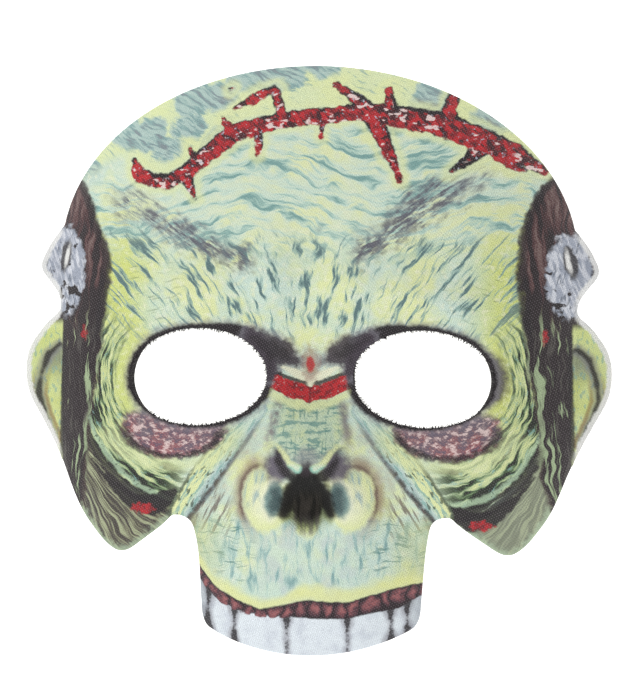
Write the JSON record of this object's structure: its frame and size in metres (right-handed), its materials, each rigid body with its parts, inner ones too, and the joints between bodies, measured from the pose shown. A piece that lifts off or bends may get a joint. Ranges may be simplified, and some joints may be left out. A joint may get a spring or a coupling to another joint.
{
  "type": "moulded monster half mask",
  "caption": "Half mask with a monster's face: printed jersey over a heat-moulded foam shell with eye holes, ear flanges, cheek lobes and an upper jaw that ends at the teeth",
  "frame": {"origin": "On the surface that the mask rests on, under the middle of its outer box", "axes": "+X to the right as one looks at the face, +Y to the forehead, +Z out of the face"},
  "size_m": [0.1992, 0.1992, 0.0771],
  "materials": {
    "white_foam": "matt white closed-cell foam with bare cut edges",
    "printed_jersey": "matt knitted polyester with a monster's skin printed on it, laminated to the foam"
  },
  "bodies": {
    "root": {"foam_shell": "white_foam", "printed_cloth": "printed_jersey"}
  },
  "joints": []
}
